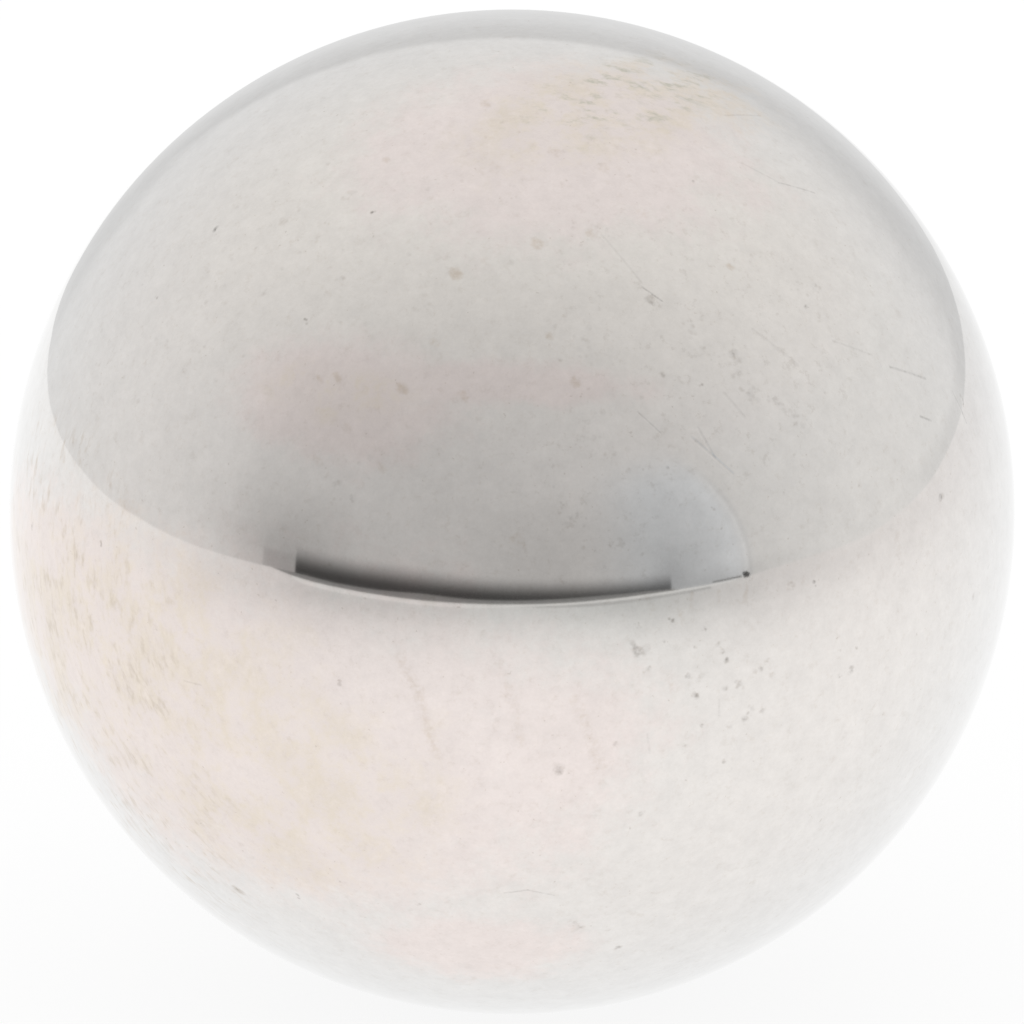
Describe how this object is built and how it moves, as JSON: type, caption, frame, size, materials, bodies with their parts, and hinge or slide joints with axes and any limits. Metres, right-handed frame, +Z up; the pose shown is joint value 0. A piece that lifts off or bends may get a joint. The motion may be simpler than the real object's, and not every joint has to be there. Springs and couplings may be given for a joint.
{
  "type": "steel ball",
  "caption": "Solid polished steel ball with straw and pink tarnish, fine pits and hair scratches; rolls freely, or sits in a race, cup or socket.",
  "frame": {"origin": "centre of the ball", "axes": "+Z up. The ball is the same about every axis; its worn and tarnished side is turned towards -Y, which is the front"},
  "size_m": [0.0254, 0.0254, 0.0254],
  "materials": {
    "polished_steel": "polished"
  },
  "bodies": {
    "root": {"ball": "polished_steel"}
  },
  "joints": []
}
